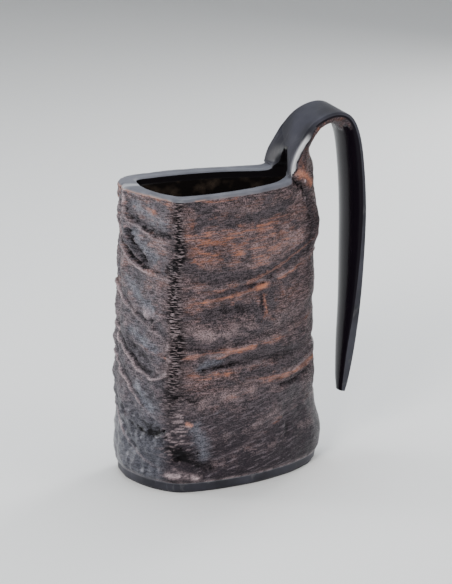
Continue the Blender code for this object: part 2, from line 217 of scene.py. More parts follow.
# Single marks on the bark, by the tint they take: points as above, width, height of the mark.
MARKS = {
    "orange": (
        (((-25, 74), (-17, 71.5), (-8, 70)), 0.9, 0.5),
        (((10, 98), (22, 98.5), (34, 100), (45, 101.5)), 0.9, 0.5),
        (((34, 104.5), (50, 108), (66, 113), (78, 118)), 1.2, 0.4),
        (((43, 97), (43.5, 91), (45, 87), (50, 82)), 0.7, 0.4),
        (((44, 88), (41, 83)), 0.5, 0.3),
        (((0, 70.5), (12, 71.5), (24, 71), (38, 71.5)), 1.2, 0.4),
        (((40, 54.5), (56, 53.5), (69, 53), (84, 55)), 1.3, 0.6),
        (((6, 148.2), (16, 147), (28, 147)), 0.7, 0.2),
    ),
    "shade": (
        (((22, 101), (34, 102.5), (52, 105.5)), 1.7, -0.9),
        (((-2, 118), (6, 114), (13, 110.5), (19, 108)), 2.9, -0.4),
        (((20, 107.5), (40, 108.5), (60, 110), (76, 115)), 1.8, -0.3),
        (((8, 137), (24, 135.5), (42, 137), (60, 140)), 2.4, -0.2),
        (((5, 147), (9, 144), (14, 142)), 2.2, -0.3),
        (((10, 90), (22, 91.5), (36, 92.5)), 3.4, -0.6),
        (((38, 89), (40, 85)), 2.2, -0.3),
        (((47, 96), (48, 90)), 2.2, -0.2),
        (((77, 137), (79, 125), (74, 116.5), (62, 112)), 2.6, -0.3),
        (((9, 62.5), (23, 63.5), (38, 64.5), (56, 64.5), (78, 61)), 2.0, -0.6),
        (((12, 66), (30, 67), (52, 68)), 1.6, -0.2),
        (((30, 57.5), (50, 58.5), (70, 58)), 1.8, -0.2),
        (((5, 40), (17, 36), (28, 31)), 3.6, -0.3),
        (((36, 12.5), (54, 11), (74, 7.5)), 2.4, -0.1),
        (((35, 41), (50, 42.5), (66, 44)), 2.6, -0.2),
        (((-6, 42), (-3, 30)), 4.5, -0.1),
        (((56.5, 37), (58.5, 24)), 1.8, -0.4),
    ),
    "dark": (
        (((30, 101.5), (40, 102.5), (50, 104.5)), 0.7, -0.5),
        (((41.5, 98), (42, 92), (42, 88)), 0.9, -0.5),
        (((14, 91), (24, 92), (34, 90.5)), 1.9, -0.3),
        (((10, 62.6), (18, 63.3), (29, 64)), 0.9, -0.5),
        (((50, 64.8), (64, 64)), 0.9, -0.5),
        (((54, 48.5), (64, 49), (80, 52)), 1.1, -0.9),
        (((73.5, 143.5), (76, 139)), 1.3, -1.2),
        (((-43.5, 149), (-43.5, 140), (-45, 132)), 1.6, -0.8),
        (((-37.5, 138.5), (-32, 136.3), (-26, 133.5), (-18, 131.5), (-9, 130)), 1.3, -0.9),
        (((-35, 118), (-31, 115), (-26, 112.5)), 0.9, -0.7),
        (((-33, 73), (-27, 69.5), (-20, 67)), 1.6, -1.3),
        (((-3, 49), (3, 48.5), (6, 47)), 1.6, -0.6),
        (((-2, 21), (4, 19)), 2.4, -0.5),
        (((-20, 31.5), (-12, 31.5)), 2.2, -0.3),
        (((58, 27), (58, 23)), 1.4, -0.5),
        (((-49, 67), (-47.5, 63)), 0.9, -0.8),
        (((-50, 42), (-49, 39)), 0.9, -0.8),
        (((-39, 38), (-38, 36)), 1.2, -0.8),
        (((-30, 31), (-26, 29)), 1.8, -0.8),
        # a painted shadow under the knob
        (((-25, 87.5), (-21.5, 85.6), (-18, 87)), 0.9, -0.9),
    ),
    "bloom_and_highlight": (
        (((34, 122), (50, 119), (66, 123)), 6.5, 0.3),
        (((0, 83), (12, 80), (28, 78)), 4.5, 0.2),
        (((40, 56), (56, 55.5), (69, 55)), 1.5, 0.2),
        (((15, 14), (37, 18), (54, 20.5), (75, 25)), 2.6, 0.2),
        (((15, 27.5), (26, 30), (44, 32.5), (58, 36)), 2.4, 0.2),
        (((5, 42.5), (15, 46), (31, 48.5), (49, 49.5)), 2.2, 0.2),
        (((-42, 38), (-38, 41), (-35, 37), (-38, 33), (-42, 36)), 0.8, 0.8),
    ),
    "pale": (
        (((-13, 62), (-10, 60.5), (-7, 66), (-8, 76)), 0.9, 0.6),
        (((74.5, 147), (74.5, 143), (75, 138)), 0.6, 1.1),
        (((72.5, 145), (74.5, 142)), 0.5, 0.7),
        (((-38.5, 149), (-39, 142), (-40, 136), (-47, 131)), 0.9, 0.9),
        (((1, 36.5), (3, 35.5)), 0.6, 0.2),
        (((-7, 10), (0, 8.8), (6, 8.2)), 1.6, 0.2),
    ),
    # Blue marks are hollows; their blue tint is a painted bluish sheen.
    "blue": (
        (((7, 64), (12, 66), (18, 66.5)), 2.0, -0.2),
        (((5, 34), (8, 27), (9, 19)), 3.0, 0.0),
        (((-31, 143), (-23, 139), (-12, 137)), 2.6, -0.4),
        (((-34, 128), (-28, 123), (-19, 118)), 2.8, -0.7),
        (((-37, 104), (-31, 99.5), (-25, 95.5), (-19, 92.5)), 2.8, -0.7),
        (((-32, 80), (-25, 76), (-15, 72)), 2.4, -0.3),
        (((-26, 52), (-22, 46), (-18, 42)), 2.8, -0.3),
    ),
    "pit": (
        (((67, 148.5), (70, 146), (73.5, 143.5)), 1.6, -2.0),
        (((-37, 127.5), (-33, 122.8), (-29, 119), (-24.5, 115.5)), 1.1, -1.8),
        (((-7, 52), (-4, 50.5), (-1, 51)), 1.5, -1.0),
        (((-7, 23.5), (-3, 21), (0, 19.5)), 1.8, -1.2),
        (((-2, 18.5), (4, 15.5), (9, 13.5), (13, 12)), 1.6, -1.2),
        (((-24, 30), (-18, 28.5), (-12, 30)), 1.5, -0.9),
    ),
    "raw": (
        (((70.5, 151.5), (74, 150), (78, 148), (82, 144)), 2.0, 0.5),
        (((1, 36.5), (3, 35.5)), 0.6, 0.5),
    ),
}
KNOB = (-21.0, 90.0, 2.5, 2.6)  # distance round, height, radius, how far it stands off

# The ragged seam down the front corner: its place, half width and strength at each height.
SEAM_Z = (0, 15, 30, 50, 65, 78, 83, 89, 96, 107, 114, 120, 127, 135, 150)
SEAM_AT = (-3, -4, -5, -6, -4.5, -3, -3, -5.5, -5, -6, -6, -2.5, -3, -3.8, -3)
SEAM_WIDTH = (2, 3, 4, 4.2, 3.6, 4, 3.6, 3.2, 3.2, 3.2, 4.4, 4, 3.4, 3, 2.4)
SEAM_STRENGTH = (0, 0, 0.1, 0.55, 0.85, 0.9, 1, 1, 1, 1, 1, 1, 0.95, 0.85, 0.6)

BACK = 128.0  # distance round to the back's middle, where the two sides' tints have faded out
BACK_FADE = 34.0
CALM_Z, CALM_SPAN = 20.0, 34.0  # the bark is worn smooth below this height, and rough this far above

# The horn's material slots.
BARK, CUT, INSIDE = 0, 1, 2
FOOT_POLISH = 0.6

# Lights: name, place in metres, size in metres, power, colour, share of gloss.
LIGHT_AIM_M = (0.0, 0.0, 0.09)
LIGHTS = (
    ("key", (-0.8, -1.0, 0.8), (0.45, 0.45), 19.0, (1.0, 0.98, 0.95), 1.0),
    ("fill", (0.95, -0.85, 0.35), (0.6, 0.9), 7.0, (1.0, 0.96, 0.92), 1.0),
    ("top", (0.05, 0.15, 1.1), (0.8, 0.8), 12.0, (0.88, 0.94, 1.0), 1.0),
    ("rim_left", (-0.95, 0.5, 0.12), (0.3, 0.9), 12.0, (1.0, 1.0, 1.0), 0.2),
    ("rim_right", (0.8, 0.6, 0.35), (0.3, 0.9), 10.0, (1.0, 1.0, 1.0), 0.3),
)
SKY = (0.9, 0.94, 1.0)
SKY_STRENGTH = 0.3

# The floor's half width, and the backdrop's distance, height and radius of its curve.
FLOOR_HALF_M = 12.0
BACKDROP_M = (2.2, 2.2, 0.6)

# Camera, set to the angle and distance the mug is looked at from.
VIEW_AZIMUTH, VIEW_ELEVATION = -19.0, 16.0
VIEW_DISTANCE_M = 1.37
VIEW_TARGET_M = (0.0049, 0.006, 0.089)
LENS = 169.8


def smooth(value, span=1.0):
    """A soft step, from 0 at 0 to 1 at the span."""
    value = np.clip(value / span, 0.0, 1.0)
    return value * value * (3.0 - 2.0 * value)


def bell(offset, width):
    """1 in the middle, falling to 0 a few widths away."""
    return np.exp(-((offset / width) ** 2))


def swell(z, amounts):
    """How far an end swells at this height, blurred a little so that it has no kinks."""
    return np.mean([np.interp(z + shift, SWELL_Z, amounts) for shift in SWELL_BLUR])


def spline(before, start, end, after, t):
    return 0.5 * (
        2 * start
        + (end - before) * t
        + (2 * before - 5 * start + 4 * end - after) * t**2
        + (3 * start - before - 3 * end + after) * t**3
    )


def loop_at(points, where):
    """A closed smooth outline through the control points, at places counted in spans."""
    points = np.array(points)
    count = len(points)
    index = np.floor(where).astype(int)
    share = (where - index)[:, None]
    near = [points[(index + k) % count] for k in (-1, 0, 1, 2)]
    return spline(*near, share)


def path_through(rows, steps=40):
    rows = np.array(rows)
    rows = np.vstack([2 * rows[0] - rows[1], rows, 2 * rows[-1] - rows[-2]])
    line = [
        spline(rows[i - 1], rows[i], rows[i + 1], rows[i + 2], k / steps)
        for i in range(1, len(rows) - 2)
        for k in range(steps)
    ]
    line = np.array([*line, rows[-2]])
    lengths = np.linalg.norm(np.diff(line[:, :2], axis=0), axis=1)
    return line, np.concatenate([[0.0], np.cumsum(lengths)])


def outward(ring):
    along = np.roll(ring, -1, axis=0) - np.roll(ring, 1, axis=0)
    normal = np.stack([along[:, 1], -along[:, 0]], axis=1)
    return normal / np.linalg.norm(normal, axis=1, keepdims=True)


def widened(ring, distance):
    return ring + outward(ring) * np.reshape(distance, (-1, 1))


def at_height(ring, z):
    return np.column_stack([ring, np.zeros(len(ring)) + z])


def column_places():
    """Where the columns stand on the outline, in spans, with fewer of them round the back."""
    lengths = np.linalg.norm(np.roll(RIM_OUTER, -1, axis=0) - np.array(RIM_OUTER), axis=1)
    places = []
    for span, length in enumerate(lengths):
        step = BACK_COLUMN_STEP if LEG_FAR <= span <= LEG_FAR + 3 else COLUMN_STEP
        count = max(4, round(length / step))
        places.extend(span + k / count for k in range(count))
    return np.array(places)


PLACES = column_places()
COLUMNS = len(PLACES)
FIRST = int(np.searchsorted(PLACES, LEG_NEAR - 1e-6))
LAST = int(np.searchsorted(PLACES, LEG_FAR - 1e-6))
LEG = np.arange(FIRST, LAST + 1)
OPEN_RIM = np.arange(LAST, FIRST + COLUMNS + 1) % COLUMNS

RIM = loop_at(RIM_OUTER, PLACES)
BASE = loop_at(BASE_OUTER, PLACES)
RIM_BORE = loop_at(RIM_INNER, PLACES)
BASE_BORE = BASE_CENTRE + (BASE - BASE_CENTRE) * BASE_BORE_SCALE


def outer_outline(z):
    share = z / BODY_HEIGHT
    ring = BASE * (1 - share) + RIM * share
    right = smooth(ring[:, 0] - 24.0, 24.0) * swell(z, SWELL_RIGHT)
    left = smooth(-ring[:, 0] - 15.0, 32.0) * swell(z, SWELL_LEFT)
    ring[:, 0] += right - left
    return widened(ring, -1.2 * (1 - smooth(z, 1.6)))


def bore_outline(z):
    share = z / BODY_HEIGHT
    return BASE_BORE * (1 - share) + RIM_BORE * share


def around():
    """Each column's distance round the outline at half height, from the front corner."""
    ring = outer_outline(BODY_HEIGHT / 2)
    steps = np.linalg.norm(np.roll(ring, -1, axis=0) - ring, axis=1)
    so_far = np.concatenate([[0.0], np.cumsum(steps)])
    total = so_far[-1]
    corner = np.interp(CORNER_SPAN, PLACES, so_far[:-1])
    return (so_far[:-1] - corner + total / 2) % total - total / 2, total


AROUND, GIRTH = around()


def fractal(points, scale, octaves=3, offset=0.0):
    """Smooth noise from -1 to 1 at each point. It has no seed, so it never changes."""
    flat = np.asarray(points).reshape(-1, 3) / scale + offset
    values = [
        noise.fractal(Vector(p), 1.0, 2.0, octaves, noise_basis="PERLIN_ORIGINAL") for p in flat
    ]
    return np.array(values).reshape(np.shape(points)[:-1])


def surface_place(columns, heights):
    """Bark coordinates that close round the horn: a cylinder of the same girth, and the height."""
    angle = AROUND[columns] * 2 * math.pi / GIRTH
    radius = GIRTH / (2 * math.pi)
    shape = (len(heights), len(columns))
    return np.stack([
        np.broadcast_to(radius * np.cos(angle), shape),
        np.broadcast_to(radius * np.sin(angle), shape),
        np.broadcast_to(np.asarray(heights, float)[:, None], shape),
    ], axis=-1)


def ring_lines():
    """Height, crest and groove strength of each growth ring at every column."""
    fine = np.linspace(-GIRTH / 2, GIRTH / 2, 1200, endpoint=False)
    spread = np.exp(-0.5 * (np.arange(-40, 41) / 11.0) ** 2)
    spread /= spread.sum()
    lines = []
    for knots in RINGS:
        knots = np.array(knots, float)
        curves = []
        for column in (1, 2, 3):
            curve = np.interp(fine, knots[:, 0], knots[:, column], period=GIRTH)
            curve = np.convolve(np.concatenate([curve[-40:], curve, curve[:40]]), spread, "valid")
            curves.append(np.interp(AROUND, fine, curve, period=GIRTH))
        lines.append(curves)
    return np.array(lines)


def to_line(a, z, points):
    """Distance of each surface point from a bent line, with its ends smoothed by a spline."""
    line = np.array(points, float)
    if len(line) > 2:
        line = path_through(line, 6)[0]
    best = np.full(np.broadcast(a, z).shape, 1e9)
    for (a0, z0), (a1, z1) in zip(line[:-1], line[1:]):
        da, dz = a1 - a0, z1 - z0
        t = np.clip(((a - a0) * da + (z - z0) * dz) / (da * da + dz * dz), 0.0, 1.0)
        best = np.minimum(best, np.hypot(a - a0 - t * da, z - z0 - t * dz))
    return best


BARK_LAYERS = (
    "crest", "groove", "seam", "shade", "bloom_and_highlight", "orange", "raw", "blue", "pale", "calm", "streak",
)
BARK_TINTS = (*BARK_LAYERS, "streak_a", "streak_z")


def bark_relief(columns, heights):
    """How far the bark stands off the plain outline, and its tints, over a grid of the surface."""
    place = surface_place(columns, heights)
    a = AROUND[columns][None, :]
    z = np.asarray(heights, float)[:, None]
    shape = (len(heights), len(columns))
    wander = fractal(place, 9.0, 2) * 1.3
    rough = fractal(place * (1, 1, 1.6), 4.0, 4, 7.3)
    lumps = fractal(place, 17.0, 2, 3.1)
    ragged = 0.2 + 0.95 * smooth(0.55 + 1.7 * fractal(place * (1, 1, 1.8), 3.6, 3, 9.0))
    tints = {name: np.zeros(shape) for name in BARK_TINTS}
    frayed = 1 + 0.75 * fractal(place * (1, 1, 1.4), 2.6, 3, 13.0)
    patchy = 0.4 + 0.75 * smooth(0.55 + 1.5 * fractal(place, 13.0, 3, 17.0))
    upper = smooth(z - CALM_Z, CALM_SPAN)
    right = smooth(a + 3.0, 8.0) * smooth(BACK - a, BACK_FADE)
    left = smooth(-a - 5.0, 9.0) * smooth(BACK + a, BACK_FADE)

    rings = ring_lines()[:, :, columns]
    relief = np.zeros(shape)
    for height, crest, groove in rings:
        slope = np.gradient(height) / np.maximum(np.abs(np.gradient(AROUND[columns])), 1e-6)
        lean = 1.0 / np.sqrt(1.0 + np.clip(slope, -2, 2) ** 2)
        off = (z - height + wander) * lean
        sharp = 0.9 * patchy * bell(off, 0.8)
        relief += crest * (sharp + 0.65 * bell(off, 3.0))
        relief -= groove * (1.25 - 0.4 * right) * bell(off - 2.2, 1.3 + 0.5 * right)
        edge = (1.15 - 0.65 * right) * bell(off, 0.55 + 0.45 * right)
        tints["crest"] = np.maximum(tints["crest"], crest * patchy * edge)
        # The groove tint paints the groove black: painted shade in the recess.
        line = (1.3 - 0.75 * right) * bell(off - 2.1, 1.15)
        tints["groove"] = np.maximum(tints["groove"], groove * ragged * line)
        tints["shade"] += 0.75 * groove * bell(off - 4.6, 3.0)
        tints["shade"] += 0.55 * crest * right * bell(off + 5.2, 2.6)
        ledge = crest * patchy * bell(off + 1.4, 1.3) * right
        tints["orange"] = np.maximum(tints["orange"], 1.3 * ledge)

    edges = np.concatenate([
        np.zeros((1, len(columns))), rings[::-1, 0], np.full((1, len(columns)), NEXT_RING_Z),
    ])
    for low, high in zip(edges[:-1], edges[1:]):
        inside = np.clip((z - low) / np.maximum(high - low, 4.0), 0.0, 1.0)
        within = (inside > 0) & (inside < 1)
        relief += 1.2 * np.sin(math.pi * inside) ** 1.2 * within
        dusty = 0.75 * bell(inside - 0.24, 0.13)
        dusty += 0.45 * bell(inside - 0.8, 0.1)
        tints["bloom_and_highlight"] += within * (0.2 + 0.8 * upper) * (1 - 0.35 * left) * dusty

    for tint, marks in MARKS.items():
        for points, width, height in marks:
            near = bell(to_line(a, z, points) * frayed, width)
            relief += height * near
            # Dark marks and pits are dents; the black groove tint and shade they add are partly their
            # own dark colour and partly painted shade in the dent.
            if tint in ("dark", "pit"):
                tints["groove"] += near * (ragged if tint == "dark" else 0.7 + 0.7 * ragged)
                tints["shade"] += 0.5 * near
            else:
                tints[tint] += near * (ragged if tint == "pale" else 1.0)
    knob_a, knob_z, knob_size, knob_height = KNOB
    knob = bell(np.hypot(a - knob_a, z - knob_z), knob_size)
    relief += knob_height * knob
    # The knob's blue tint is a painted bluish sheen; it also gets a pale top.
    tints["blue"] += 0.9 * knob
    tints["pale"] += 0.8 * knob

    teeth = 1 + 0.45 * fractal(place * (1, 1, 2.0), 3.0, 2, 5.0)
    from_seam = (a - np.interp(z, SEAM_Z, SEAM_AT)) / (np.interp(z, SEAM_Z, SEAM_WIDTH) * teeth)
    seam = np.interp(z, SEAM_Z, SEAM_STRENGTH) * np.exp(-(from_seam**2))
    right_end = 0.4 * bell(a - 76.0, 4.0)
    seam = np.maximum(seam, right_end * smooth(z - 104, 8) * smooth(140 - z, 10))
    cracks = fractal(place * (1, 1, 5.0), 5.0, 3, 11.0)
    relief -= 0.4 * seam * smooth(cracks * 2.6 + 0.3)
    tints["seam"] = seam

    areas = 0.8 * bell(z - 124.0, 15.0) + 0.4 * bell(z - 96.0, 7.0) + 0.3 * bell(z - 60.0, 6.0)
    fading = (0.25 + 0.75 * smooth(72.0 - a, 24.0)) * smooth(88.0 - a, 16.0)
    tints["orange"] += right * fading * areas
    tints["orange"] += left * (0.3 * smooth(z - 84.0, 20.0) + 0.5 * smooth(z - 132.0, 6.0))
    above_band = bell(z - BAND_TOP - 0.8, 0.5)
    tints["pale"] += 0.6 * ragged * (0.3 + 0.7 * right) * above_band
    # A painted bluish sheen over the left face, less of it higher up.
    tints["blue"] += (0.7 - 0.4 * upper) * left * smooth(112.0 + a, 50.0)
    # Painted shade in the hollows between the left face's bumps, and a painted highlight on their
    # tops.
    bumps = fractal(place, 7.0, 3, 21.0)
    relief += 0.9 * left * bumps
    tints["shade"] += 0.9 * left * smooth(-2.2 * bumps)
    tints["bloom_and_highlight"] += 0.5 * left * smooth(2.2 * bumps)
    relief += (0.25 + 0.25 * upper) * (1 - 0.4 * smooth(a - 72.0, 8.0)) * rough + 0.6 * lumps
    relief *= smooth(z - BAND_TOP - 0.2, 3.0)
    relief -= 0.35 * (1 - smooth(z - BAND_TOP, 0.5)) * smooth(z, 1.5)
    tints["calm"] = 1 - upper + 0.55 * left * smooth(96.0 - z, 50.0)
    dashes = smooth(7.0 * fractal(place * (1, 1, 4.5), 4.5, 2, 31.0) - 1.3)
    dashes *= bell(a + 3.0, 7.0) * smooth(54 - z, 8) * smooth(z - 14, 6)
    tints["pale"] += 0.6 * dashes
    tints["streak_a"] = a + 0.22 * z
    tints["streak_z"] = z - 0.22 * a
    tints["streak"] = right * smooth(70.0 - a, 14.0) * smooth(54.0 - z, 14.0)
    return relief, tints


def rim_rise():
    """How far each column of the rim rises towards the handle's root."""
    gap = np.minimum(
        np.linalg.norm(RIM - RIM[FIRST], axis=1), np.linalg.norm(RIM - RIM[LAST], axis=1)
    )
    gap[LEG] = 0.0
    return RIM_RISE * np.exp(-gap / 2.5)


RISE = rim_rise()


def raised(z, top):
    """A row's heights, with the rise coming in over the top eighth of the wall."""
    return z + RISE * smooth(z / top * 8.0 - 7.0)


def across(outer_edge, inner_edge, normal, drops):
    """The points of one crossing from the outer to the inner edge of the rim or handle."""
    top_outer = outer_edge + normal * drops[0]
    top_inner = inner_edge + normal * drops[-1]
    return np.array([
        top_outer * (1 - share) + top_inner * share - normal * drop
        for share, drop in zip(LIP_SHARE, drops)
    ])


HANDLE_LINE, HANDLE_LENGTHS = path_through(HANDLE)


def handle_stations():
    """Distances along the handle to its rows, which are closer together at its root."""
    share = np.linspace(0.0, 1.0, HANDLE_ROWS + 1)
    return HANDLE_LENGTHS[-1] * (0.45 * share + 0.55 * share**1.6)


def handle_at(s):
    return np.array([np.interp(s, HANDLE_LENGTHS, column) for column in HANDLE_LINE.T])


def halves(row):
    """The middle of a row of places, and each one's distance from it, where an end's is 1."""
    return 0.5 * (row[0] + row[-1]), (2 * row - row[0] - row[-1]) / (row[-1] - row[0])


def handle_rings(rim_row, bore_row, stations):
    """For each station: the rounded surface, the sawn surface, the face's normal and its bevels."""
    bore = RIM_BORE[LEG]
    rim_middle, spread = halves(RIM[LEG, 1])
    bore_middle, bore_spread = halves(bore[:, 1])
    bore_depth = np.maximum(bore[:, 0] - np.linspace(bore[0, 0], bore[-1, 0], len(bore)), 0.0)
    bore_half = 0.5 * (bore[-1, 1] - bore[0, 1])
    rings = []
    for s in stations:
        x, z, half, thick, edge = handle_at(s)
        along = (handle_at(s + 1.5) - handle_at(max(s - 1.5, 0.0)))[:2]
        along /= np.linalg.norm(along)
        normal = np.array([-along[1], 0.0, along[0]])
        merged = smooth(s, MERGE_LENGTH)
        middle = rim_middle * (1 - merged)
        bulge = np.maximum(1 - spread**2, 0.0) ** (0.75 - 0.15 * merged)
        round_face = np.outer(edge + (thick - edge) * bulge, -normal)
        round_face += (x, middle, z)
        round_face[:, 1] += half * spread
        lift = (0.0, 0.0, z - BODY_HEIGHT)
        wall = rim_row + lift
        round_face = wall * (1 - merged) + round_face * merged

        open_share = np.clip(1.0 - s / HOLLOW_END, 0.0, 1.0)
        bevel = LIP_BEVEL * smooth(s, 2.0) * open_share
        closing = bore_half * (0.22 + 0.78 * open_share)
        flat = half - 0.8 * edge
        reach = closing + (flat - closing) * smooth(s - HOLLOW_END, 9.0)
        sawn = np.outer(bevel + (bore_depth - bevel) * open_share * (bore_depth > bevel), -normal)
        sawn += (x, middle * 0.6 + bore_middle * 0.4 * open_share, z)
        sawn[:, 1] += reach * bore_spread
        leaving = smooth(s, 4.0)
        sawn = (bore_row + lift) * (1 - leaving) + sawn * leaving

        turned = smooth(s, FILLET)
        facing = normal * turned + np.array([0.0, 0.0, 1.0]) * (1 - turned)
        facing /= np.linalg.norm(facing)
        drops = edge * np.array([1.0, 0.62, 0.3, 0.08, 0.0, 0.0, 0.0, 0.0])
        drops[-3:] = bevel * np.array([0.08, 0.3, 1.0])
        rings.append((round_face, sawn, facing, drops * turned + np.array(LIP_DROPS) * (1 - turned)))
    return rings


def linked(name, data):
    obj = bpy.data.objects.new(name, data)
    bpy.context.scene.collection.objects.link(obj)
    return obj


class Surface:
    """Quad patches with tints at their points, gathered into one welded mesh."""

    def __init__(self, tint_names=()):
        self.names = tint_names
        self.points, self.places, self.tints, self.faces, self.slots = [], [], [], [], []
        self.count = 0

    def patch(self, rows, slot=0, closed=False, tints=None, place=None):
        grid = np.asarray(rows, float)
        high, wide = grid.shape[:2]
        index = self.count + np.arange(high * wide).reshape(high, wide)
        self.points.append(grid.reshape(-1, 3))
        self.places.append(np.zeros((high * wide, 3)) if place is None else place.reshape(-1, 3))
        values = np.zeros((high * wide, len(self.names)))
        for k, name in enumerate(self.names):
            if tints is not None and name in tints:
                values[:, k] = np.broadcast_to(tints[name], (high, wide)).ravel()
        self.tints.append(values)
        self.count += high * wide
        right = np.roll(index, -1, axis=1)
        if not closed:
            index, right = index[:, :-1], right[:, :-1]
        quads = np.stack([index[:-1], right[:-1], right[1:], index[1:]], axis=-1).reshape(-1, 4)
        self.faces.append(quads)
        self.slots.append(np.zeros(len(quads), int) + slot)

    def fan(self, ring, centre):
        """Closes a loop of points with narrowing rings down to one middle point."""
        ring = np.asarray(ring, float)
        rows = [ring + (np.asarray(centre) - ring) * t for t in (0.0, 0.3, 0.6, 0.85, 1.0)]
        self.patch(rows, closed=True)

    def build(self, name, materials):
        points = np.concatenate(self.points)
        keys = np.round(points / WELD).astype(np.int64)
        _, first, index = np.unique(keys, axis=0, return_index=True, return_inverse=True)
        index = index.reshape(-1)
        faces, kept = [], []
        for k, face in enumerate(index[np.concatenate(self.faces)]):
            corners = list(dict.fromkeys(face.tolist()))
            if len(corners) > 2:
                faces.append(corners)
                kept.append(k)
        mesh = bpy.data.meshes.new(name)
        mesh.from_pydata((points[first] * MM).tolist(), [], faces)
        mesh.polygons.foreach_set("material_index", np.concatenate(self.slots)[kept])
        mesh.polygons.foreach_set("use_smooth", np.ones(len(faces), bool))
        values = np.concatenate(self.tints)[first]
        for k, tint in enumerate(self.names):
            attribute = mesh.attributes.new(tint, "FLOAT", "POINT")
            attribute.data.foreach_set("value", values[:, k].astype(np.float32))
        if self.names:
            attribute = mesh.attributes.new("place", "FLOAT_VECTOR", "POINT")
            places = np.concatenate(self.places)[first]
            attribute.data.foreach_set("vector", places.astype(np.float32).ravel())
        mesh.update()
        mesh.set_sharp_from_angle(angle=math.radians(SHARP_DEGREES))
        for material in materials:
            mesh.materials.append(material)
        return linked(name, mesh)


def opaque(value):
    """A colour, or a grey of one value, with full alpha."""
    return (*value, 1.0) if isinstance(value, tuple) else (value, value, value, 1.0)


class Nodes:
    """Short ways to make the shader nodes used below."""

    def __init__(self, name):
        self.material = bpy.data.materials.new(name)
        self.material.use_nodes = True
        self.tree = self.material.node_tree
        self.shader = self.tree.nodes["Principled BSDF"]

    def put(self, socket, value):
        if isinstance(value, bpy.types.NodeSocket):
            self.tree.links.new(value, socket)
        elif socket.type == "RGBA":
            socket.default_value = opaque(value)
        else:
            socket.default_value = value

    def make(self, kind, **inputs):
        node = self.tree.nodes.new("ShaderNode" + kind)
        for name, value in inputs.items():
            self.put(node.inputs[name.replace("_", " ")], value)
        return node

    def attribute(self, name, output="Fac"):
        node = self.tree.nodes.new("ShaderNodeAttribute")
        node.attribute_name = name
        return node.outputs[output]

    def math(self, operation, a, b=0.0, clamp=False):
        node = self.tree.nodes.new("ShaderNodeMath")
        node.operation = operation
        node.use_clamp = clamp
        self.put(node.inputs[0], a)
        self.put(node.inputs[1], b)
        return node.outputs[0]

    def times(self, a, b, clamp=False):
        return self.math("MULTIPLY", a, b, clamp)

    def noise(self, vector, scale, detail=4.0, roughness=0.55, stretch=(1, 1, 1), move=(0, 0, 0)):
        mapping = self.make("Mapping", Vector=vector)
        mapping.inputs["Scale"].default_value = stretch
        mapping.inputs["Location"].default_value = move
        node = self.make(
            "TexNoise", Vector=mapping.outputs[0], Scale=scale, Detail=detail, Roughness=roughness
        )
        return node.outputs["Fac"]

    def ramp(self, factor, *stops):
        """Remaps a factor smoothly through (place, value) stops, to greys or colours."""
        node = self.make("ValToRGB", Fac=factor)
        elements = node.color_ramp.elements
        while len(elements) < len(stops):
            elements.new(0.5)
        for element, (place, value) in zip(elements, stops):
            element.position = place
            element.color = opaque(value)
        return node.outputs["Color"]

    def blend(self, factor, a, b, kind="MIX"):
        node = self.tree.nodes.new("ShaderNodeMix")
        node.data_type = "RGBA"
        node.blend_type = kind
        node.clamp_factor = True
        self.put(node.inputs[0], factor)
        self.put(node.inputs[6], a)
        self.put(node.inputs[7], b)
        return node.outputs[2]

    def bump(self, height, strength, distance_mm):
        node = self.make("Bump", Height=height, Strength=strength, Distance=distance_mm * MM)
        return node.outputs[0]

    def finish(self, **inputs):
        for name, value in inputs.items():
            self.put(self.shader.inputs[name.replace("_", " ")], value)
        return self.material


